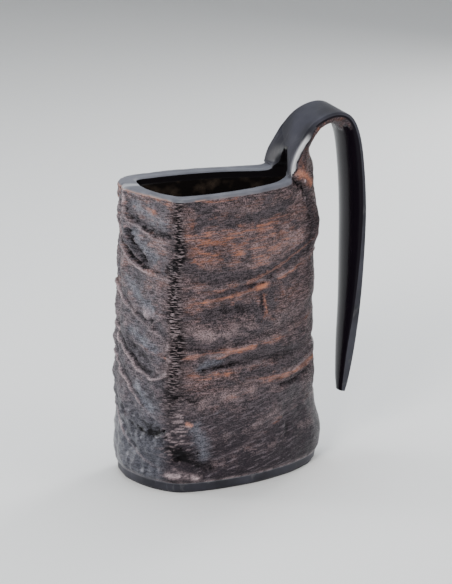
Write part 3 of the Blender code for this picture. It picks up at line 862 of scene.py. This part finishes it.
def bark_material():
    """Rough bark. Layers go on from the grain up: horn rubbed smooth, dusting and painted highlights,
    threads, shade, streaks, painted bluish sheen, splits, and grooves painted black as painted shade.
    """
    n = Nodes("horn_bark")
    place = n.attribute("place", "Vector")
    slanted = n.make("CombineXYZ", X=n.attribute("streak_a"), Y=n.attribute("streak_z")).outputs[0]
    fibres = n.noise(place, 0.95, 4.0, 0.66, stretch=(0.3, 0.3, 1.6))
    speckle = n.noise(place, 1.7, 2.0, 0.7, stretch=(0.75, 0.75, 1.25), move=(5, 3, 1))
    mottle = n.noise(place, 0.1, 4.0, 0.6, move=(2, 7, 4))
    patches = n.noise(place, 0.17, 3.0, 0.55, stretch=(0.6, 0.6, 1.5), move=(9, 1, 6))
    cracks = n.noise(place, 1.9, 2.0, 0.6, stretch=(0.16, 0.16, 1.0), move=(3, 8, 2))
    threads = n.noise(place, 1.0, 2.0, 0.6, stretch=(0.12, 0.12, 1.05), move=(6, 2, 8))
    blotches = n.noise(place, 0.3, 3.0, 0.6, stretch=(0.5, 0.5, 1.3), move=(1, 4, 9))
    streaks = n.noise(slanted, 1.0, 3.0, 0.6, stretch=(0.12, 0.8, 1.0), move=(4, 2, 0))
    crest, groove, seam, shade, bloom_and_highlight, orange, raw, blue, pale, calm, streak = map(
        n.attribute, BARK_LAYERS
    )
    polish = n.attribute("polish")

    speck = n.times(n.math("SUBTRACT", speckle, 0.5), 1.1)
    grain = n.math("ADD", fibres, speck)
    colour = n.ramp(
        grain,
        (0.36, (0.006, 0.004, 0.004)), (0.46, (0.027, 0.0165, 0.016)),
        (0.55, (0.068, 0.042, 0.043)), (0.68, (0.20, 0.132, 0.138)),
    )
    calmer = n.ramp(
        grain,
        (0.34, (0.003, 0.003, 0.004)), (0.5, (0.009, 0.008, 0.011)),
        (0.62, (0.018, 0.015, 0.020)), (0.74, (0.14, 0.10, 0.11)),
    )
    marble = n.noise(place, 0.24, 5.0, 0.66, stretch=(0.8, 0.8, 1.2), move=(7, 7, 2))
    veins = n.ramp(
        marble,
        (0.36, (0.004, 0.004, 0.006)), (0.48, (0.011, 0.010, 0.014)),
        (0.57, (0.028, 0.025, 0.033)), (0.68, (0.13, 0.11, 0.125)),
    )
    calmer = n.blend(0.62, calmer, veins)
    colour = n.blend(n.times(calm, 0.92, clamp=True), colour, calmer)
    streak = n.times(streak, n.ramp(streaks, (0.54, 0.0), (0.66, 0.8)))
    streak = n.times(streak, n.ramp(speckle, (0.36, 0.3), (0.56, 1.0)))
    # Pinkish dust, and on the left face's bumps a painted highlight.
    dust_and_highlight = n.times(bloom_and_highlight, n.ramp(speckle, (0.38, 0.1), (0.6, 1.0)))
    dust_and_highlight = n.times(dust_and_highlight, n.ramp(patches, (0.4, 0.35), (0.58, 0.9)))
    colour = n.blend(dust_and_highlight, colour, (0.27, 0.195, 0.20))
    warm = n.times(orange, n.ramp(patches, (0.42, 0.25), (0.58, 1.0)))
    warm = n.times(warm, n.ramp(threads, (0.49, 0.12), (0.57, 1.0)))
    colour = n.blend(n.times(warm, 0.92), colour, (0.41, 0.15, 0.078))
    clouds = n.ramp(mottle, (0.46, 0.0), (0.62, 0.6))
    dark = n.math("ADD", clouds, n.ramp(blotches, (0.5, 0.0), (0.64, 0.7)))
    dark = n.math("ADD", n.times(shade, 1.1), dark)
    dark = n.math("ADD", n.times(calm, 0.5), dark)
    gloom = n.ramp(grain, (0.4, (0.006, 0.0045, 0.005)), (0.66, (0.078, 0.057, 0.065)))
    gloom = n.blend(n.times(calm, 0.65), gloom, (0.013, 0.011, 0.015))
    colour = n.blend(n.times(dark, 0.85, clamp=True), colour, gloom)
    colour = n.blend(streak, colour, (0.125, 0.103, 0.117))
    # Painted bluish sheen where the blue tint is: the left face, its hollows and the knob.
    sheen = n.ramp(grain, (0.38, (0.016, 0.018, 0.026)), (0.62, (0.13, 0.138, 0.168)))
    colour = n.blend(n.times(blue, 0.65, clamp=True), colour, sheen)
    bright = n.math("MAXIMUM", n.times(crest, 0.8), n.times(pale, 0.95))
    bright = n.times(bright, n.ramp(speckle, (0.36, 0.3), (0.54, 1.0)), clamp=True)
    colour = n.blend(bright, colour, (0.40, 0.31, 0.325))
    bare = n.math("MAXIMUM", raw, n.ramp(orange, (0.86, 0.0), (1.0, 0.24)))
    bare = n.times(bare, n.ramp(speckle, (0.34, 0.4), (0.58, 1.0)), clamp=True)
    colour = n.blend(bare, colour, (0.46, 0.19, 0.12))
    flecks = n.times(seam, n.ramp(cracks, (0.53, 0.0), (0.6, 0.75)))
    colour = n.blend(flecks, colour, (0.26, 0.205, 0.215))
    split = n.times(seam, 1.5, clamp=True)
    split = n.times(split, n.ramp(cracks, (0.48, 1.0), (0.54, 0.0)))
    # Grooves, dents and pits painted black: painted shade in the recesses. The seam's splits are its
    # black cracks.
    hollow = n.times(groove, n.ramp(grain, (0.42, 1.0), (0.62, 0.5)), clamp=True)
    black = n.math("MAXIMUM", hollow, split)
    colour = n.blend(black, colour, (0.004, 0.0035, 0.004))
    colour = n.blend(polish, colour, (0.0045, 0.0032, 0.0055))

    rough = n.ramp(grain, (0.38, 0.68), (0.62, 0.46))
    glossy = n.math("MAXIMUM", n.times(calm, 0.6), n.times(blue, 0.8, clamp=True))
    rough = n.blend(glossy, rough, 0.29)
    rough = n.blend(polish, rough, 0.2)
    shine = n.blend(calm, 0.38, 0.14)
    for where, level in ((blue, 0.4), (black, 0.1), (polish, 0.08)):
        shine = n.blend(where, shine, level)
    lift = n.math("SUBTRACT", 1.0, n.math("MAXIMUM", n.times(calm, 0.8), polish))
    height = n.math("ADD", fibres, n.times(speckle, 0.5))
    height = n.math("SUBTRACT", height, n.times(split, 1.2))
    height = n.times(height, lift)
    return n.finish(
        Base_Color=colour, Roughness=rough, Specular_IOR_Level=shine, Specular_Tint=(0.92, 0.9, 1.0),
        Normal=n.bump(height, 1.0, 0.6),
    )


def cut_material():
    """Sawn and polished horn: the rim, the handle's flat face and the foot."""
    n = Nodes("horn_cut")
    place = n.make("TexCoord").outputs["Object"]
    polish, pale, chip = n.attribute("polish"), n.attribute("pale"), n.attribute("orange")
    cloud = n.noise(place, 60.0, 3.0, 0.5)
    lines = n.noise(place, 900.0, 3.0, 0.6, stretch=(0.05, 1.0, 0.08))
    colour = n.ramp(cloud, (0.35, (0.071, 0.073, 0.088)), (0.65, (0.117, 0.119, 0.139)))
    black = n.ramp(cloud, (0.35, (0.012, 0.012, 0.017)), (0.65, (0.030, 0.030, 0.042)))
    colour = n.blend(polish, colour, black)
    colour = n.blend(n.ramp(lines, (0.6, 0.0), (0.75, 0.25)), colour, (0.2, 0.195, 0.2))
    # Pale: the painted white highlight on the handle's near edge near the root, and a pale patch at
    # the rim's left end.
    colour = n.blend(pale, colour, (0.62, 0.62, 0.64))
    colour = n.blend(chip, colour, (0.30, 0.16, 0.12))
    rough = n.ramp(cloud, (0.3, 0.40), (0.7, 0.52))
    return n.finish(
        Base_Color=colour, Roughness=rough, Specular_IOR_Level=0.24, Normal=n.bump(lines, 0.25, 0.05)
    )


def inside_material():
    """The wall inside, and the hollow that runs a little way up into the handle."""
    n = Nodes("horn_inside")
    place = n.make("TexCoord").outputs["Object"]
    waves = n.noise(place, 300.0, 2.0, 0.5)
    return n.finish(Base_Color=(0.006, 0.005, 0.006), Roughness=0.22, Normal=n.bump(waves, 0.3, 0.1))


def lacquer_material():
    n = Nodes("lining_lacquer")
    place = n.make("TexCoord").outputs["Object"]
    cloud = n.noise(place, 130.0, 4.0, 0.6)
    colour = n.ramp(cloud, (0.5, (0.006, 0.005, 0.005)), (0.75, (0.035, 0.026, 0.02)))
    waves = n.noise(place, 45.0, 2.0, 0.5, move=(3, 1, 2))
    return n.finish(Base_Color=colour, Roughness=0.14, Coat_Weight=0.5, Normal=n.bump(waves, 0.3, 0.4))


def wood_material():
    n = Nodes("plug_wood")
    place = n.make("TexCoord").outputs["Object"]
    bands = n.noise(place, 70.0, 4.0, 0.6, stretch=(0.12, 1.0, 1.0))
    pores = n.noise(place, 700.0, 2.0, 0.5, stretch=(0.05, 1.0, 1.0), move=(1, 2, 3))
    colour = n.ramp(bands, (0.35, (0.055, 0.030, 0.018)), (0.65, (0.16, 0.095, 0.055)))
    colour = n.blend(n.ramp(pores, (0.36, 0.8), (0.46, 0.0)), colour, (0.02, 0.012, 0.008))
    return n.finish(Base_Color=colour, Roughness=0.48, Normal=n.bump(pores, 0.4, 0.1))


def sealant_material():
    n = Nodes("bead_sealant")
    place = n.make("TexCoord").outputs["Object"]
    cloud = n.noise(place, 220.0, 3.0, 0.5)
    colour = n.ramp(cloud, (0.35, (0.10, 0.075, 0.045)), (0.65, (0.20, 0.155, 0.095)))
    return n.finish(Base_Color=colour, Roughness=0.35, Normal=n.bump(cloud, 0.3, 0.2))


def wall_heights():
    """Heights of the rows up the outside, closer together over the foot's smooth band."""
    low = [0.0, 0.35, 0.8, 1.4, 2.4, 3.6, BAND_TOP - 0.2, BAND_TOP + 0.25, BAND_TOP + 0.7]
    count = round((OUTER_TOP - low[-1]) / ROW_STEP)
    return np.array([*low, *np.linspace(low[-1], OUTER_TOP, count + 1)[1:]])


def leg_bark(round_face, stations, root_relief):
    """The handle's rounded face with its bark on, its tints, and where its near edge is cut back."""
    along = stations[:, None]
    heights = OUTER_TOP + stations
    relief, tints = bark_relief(LEG, heights)
    along_edges = np.ones(len(LEG))
    along_edges[:4] = (0.0, 0.3, 0.6, 0.9)
    along_edges[-4:] = along_edges[:4][::-1]
    bark_left = smooth(BARK_END - along, 30.0)
    move = (relief - root_relief * np.exp(-along / 6.0)) * bark_left * along_edges * 0.6
    move[0] = 0.0
    away = np.cross(np.gradient(round_face, axis=1), np.gradient(round_face, axis=0))
    away /= np.maximum(np.linalg.norm(away, axis=2, keepdims=True), 1e-9)
    round_face = round_face + away * move[..., None]

    edge_noise = fractal(surface_place(LEG, heights), 7.0, 2)
    facet = FACET * smooth(along - 1.5, 4.0) * (0.25 + 0.75 * smooth(30.0 - along, 9.0))
    facet *= smooth(BARK_END - along, 10.0)
    steps = np.diff(round_face, axis=1, prepend=round_face[:, :1])
    from_edge = np.cumsum(np.linalg.norm(steps, axis=2), axis=1)
    cut_back = from_edge < facet
    cut_polish = smooth(facet + 0.8 - from_edge, 0.7) * (facet > 0.3)
    polish = np.maximum(smooth(along - POLISH_START + 5 * edge_noise, 3.0), cut_polish)
    # A painted white highlight on the near edge's cut, near the root.
    facet_highlight = smooth(0.8 * facet - from_edge, 0.8) * smooth(EDGE_HIGHLIGHT_END - along, 6.0)
    tints["pale"] = np.where(cut_back, 0.9 * facet_highlight, tints["pale"])
    tints["shade"] += 0.45 * smooth(along - 34, 10)
    tints["orange"] += 0.6 * smooth(along - 4, 10) * (1 - polish)
    tints["polish"] = polish
    tints["calm"] = np.zeros_like(polish)
    return round_face, tints, cut_back


def horn():
    """The whole horn: bark outside, sawn rim and handle face, and the wall inside."""
    every = np.arange(COLUMNS)
    heights = wall_heights()
    relief, tints = bark_relief(every, heights)
    tints["polish"] = smooth(BAND_TOP + 0.3 - heights, 0.4)[:, None]
    outside = np.array([
        at_height(widened(outer_outline(z), off), raised(z, OUTER_TOP))
        for z, off in zip(heights, relief)
    ])
    inside = np.array([
        at_height(bore_outline(z), raised(z, INNER_TOP))
        for z in np.linspace(INNER_TOP, SHOULDER_Z, INNER_ROWS)
    ])
    rebate = widened(bore_outline(SHOULDER_Z), REBATE)
    foot = [inside[-1], at_height(rebate, SHOULDER_Z), at_height(rebate, 0.0), outside[0]]

    stations = handle_stations()
    rings = handle_rings(outside[-1][LEG], inside[0][LEG], stations)
    round_face = np.array([ring[0] for ring in rings])
    sawn = np.array([ring[1] for ring in rings])
    round_face, leg_tints, cut_back = leg_bark(round_face, stations, relief[-1][LEG])

    surface = Surface(BARK_TINTS + ("polish",))
    band_rows = np.where(heights[:-1] < BAND_TOP - 0.1, CUT, BARK)
    surface.patch(
        outside, np.repeat(band_rows, COLUMNS), closed=True, tints=tints,
        place=surface_place(every, heights),
    )
    surface.patch(inside, INSIDE, closed=True)
    surface.patch(foot, CUT, closed=True, tints={"polish": FOOT_POLISH})
    up = np.array([0.0, 0.0, 1.0])
    lip = np.array(LIP_DROPS)
    # A pale patch on the rim's left end.
    rim_left_pale = 0.4 * bell(AROUND[OPEN_RIM] + 40.0, 2.5)[:, None]
    surface.patch(
        [across(outside[-1][j], inside[0][j], up, lip) for j in OPEN_RIM], CUT,
        tints={"pale": rim_left_pale},
    )
    cut_faces = cut_back[:-1, 1:] & (stations[:-1, None] < CUT_END)
    surface.patch(
        round_face, np.where(cut_faces, CUT, BARK).ravel(), tints=leg_tints,
        place=surface_place(LEG, OUTER_TOP + stations),
    )
    hollow_rows = np.where(stations[:-1] < HOLLOW_END, INSIDE, CUT)
    surface.patch(sawn, np.repeat(hollow_rows, len(LEG) - 1), tints={"polish": 1.0})
    along = stations[:, None]
    # A painted white highlight along the outer corner of the near edge, near the root.
    highlight_span = smooth(along - 2.0, 3.0) * smooth(EDGE_HIGHLIGHT_END - along, 6.0)
    chamfer_highlight = np.array([0.7, 0.2, 0.0, 0.0, 0.0, 0.0, 0.0, 0.0]) * highlight_span
    for edge, pale in ((0, chamfer_highlight), (-1, 0.0)):
        surface.patch([
            across(outer[edge], inner[edge], facing, drops)
            for outer, inner, (_, _, facing, drops) in zip(round_face, sawn, rings)
        ], CUT, tints={"polish": smooth(along - 0.5, 2.5), "pale": pale})
    surface.patch([
        across(outer, inner, rings[-1][2], rings[-1][3])
        for outer, inner in zip(round_face[-1], sawn[-1])
    ], CUT, tints={"polish": 1.0})
    materials = [bark_material(), cut_material(), inside_material()]
    return orient(surface.build("horn_body_and_handle", materials))


def orient(obj):
    """Turns every face outwards."""
    bm = bmesh.new()
    bm.from_mesh(obj.data)
    bmesh.ops.recalc_face_normals(bm, faces=bm.faces)
    bm.to_mesh(obj.data)
    bm.free()
    return obj


def lining():
    """The lacquer film: wall, rounded corner and floor."""
    heights = np.linspace(SHOULDER_Z, LINING_TOP, 40)
    gap, film = FIT_GAP, LINING
    outside = [at_height(widened(bore_outline(z), -gap), z) for z in heights]
    inside = [at_height(widened(bore_outline(z), -gap - film), z) for z in heights[::-1][:-2]]
    floor = heights[0] + film
    corner = [
        at_height(widened(bore_outline(floor), -gap - film - inset), floor + lift)
        for inset, lift in ((0.1, 2.2), (0.7, 0.8), (2.2, 0.0))
    ]
    surface = Surface()
    surface.patch([*outside, *inside, *corner], closed=True)
    surface.fan(corner[-1], (*BASE_CENTRE, floor))
    surface.fan(outside[0], (*BASE_CENTRE, heights[0]))
    return orient(surface.build("lacquer_lining", [lacquer_material()]))


def plug():
    """The wooden plate in the foot, with eased edges."""
    edge = widened(widened(bore_outline(SHOULDER_Z), REBATE), -(2 * FIT_GAP + BEAD))
    profile = ((-0.6, 0.0), (-0.25, 0.12), (0.0, 0.5), (0.0, PLUG_TOP - 0.5), (-0.15, PLUG_TOP - 0.1),
               (-0.5, PLUG_TOP))
    rows = [at_height(widened(edge, inset), z) for inset, z in profile]
    surface = Surface()
    surface.patch(rows, closed=True)
    surface.fan(rows[0], (*BASE_CENTRE, 0.0))
    surface.fan(rows[-1], (*BASE_CENTRE, PLUG_TOP))
    return orient(surface.build("wooden_base_plug", [wood_material()]))


def bead():
    """The ring of sealant between the plug and the horn."""
    outer = widened(widened(bore_outline(SHOULDER_Z), REBATE), -FIT_GAP)
    low, high = BEAD_Z
    profile = ((0.0, low + 0.3), (0.0, high - 0.3), (-0.2, high), (-BEAD + 0.2, high),
               (-BEAD, high - 0.3), (-BEAD, low + 0.3), (-0.45, low + 0.05), (0.0, low + 0.3))
    rows = [at_height(widened(outer, inset), z) for inset, z in profile]
    surface = Surface()
    surface.patch(rows, closed=True)
    return orient(surface.build("sealant_bead", [sealant_material()]))


def stand():
    """Pale floor that curves up into a backdrop."""
    depth, rise, radius = BACKDROP_M
    profile = [(-FLOOR_HALF_M, 0.0), (depth - radius, 0.0)]
    profile += [
        (depth - radius + radius * math.sin(t), radius - radius * math.cos(t))
        for t in np.linspace(0.1, math.pi / 2, 14)
    ]
    profile.append((depth, rise))
    surface = Surface()
    across_x = np.linspace(-FLOOR_HALF_M, FLOOR_HALF_M, 9)
    rows = [[(x / MM, y / MM, z / MM) for x in across_x] for y, z in profile]
    surface.patch(rows)
    pale = Nodes("studio_pale").finish(Base_Color=(0.74, 0.74, 0.73), Roughness=0.75)
    return surface.build("studio_floor", [pale])


def area_light(name, place_m, size_m, power, colour, gloss):
    light = bpy.data.lights.new(name, "AREA")
    light.shape = "RECTANGLE"
    light.size, light.size_y = size_m
    light.energy = power
    light.color = colour
    light.specular_factor = gloss
    obj = linked(name, light)
    obj.location = place_m
    obj.rotation_euler = (Vector(place_m) - Vector(LIGHT_AIM_M)).to_track_quat("Z", "Y").to_euler()


def studio():
    world = bpy.data.worlds.new("studio")
    world.use_nodes = True
    background = world.node_tree.nodes["Background"]
    background.inputs["Color"].default_value = opaque(SKY)
    background.inputs["Strength"].default_value = SKY_STRENGTH
    bpy.context.scene.world = world
    for light in LIGHTS:
        area_light(*light)


def camera():
    azimuth, elevation = math.radians(VIEW_AZIMUTH), math.radians(VIEW_ELEVATION)
    back = Vector((
        math.sin(azimuth) * math.cos(elevation),
        -math.cos(azimuth) * math.cos(elevation),
        math.sin(elevation),
    ))
    data = bpy.data.cameras.new("camera")
    data.lens = LENS
    data.clip_start = 0.05
    obj = linked("camera", data)
    obj.location = Vector(VIEW_TARGET_M) + back * VIEW_DISTANCE_M
    obj.rotation_euler = back.to_track_quat("Z", "Y").to_euler()
    bpy.context.scene.camera = obj


pieces = (
    (horn(), "horn_shell", "horn"),
    (lining(), "inner_lining", "lacquer"),
    (plug(), "base_plug", "plug_wood"),
    (bead(), "seal_bead", "sealant"),
)
for piece, node, slot in pieces:
    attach(piece, "root")
    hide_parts(node)
stand()
studio()
camera()
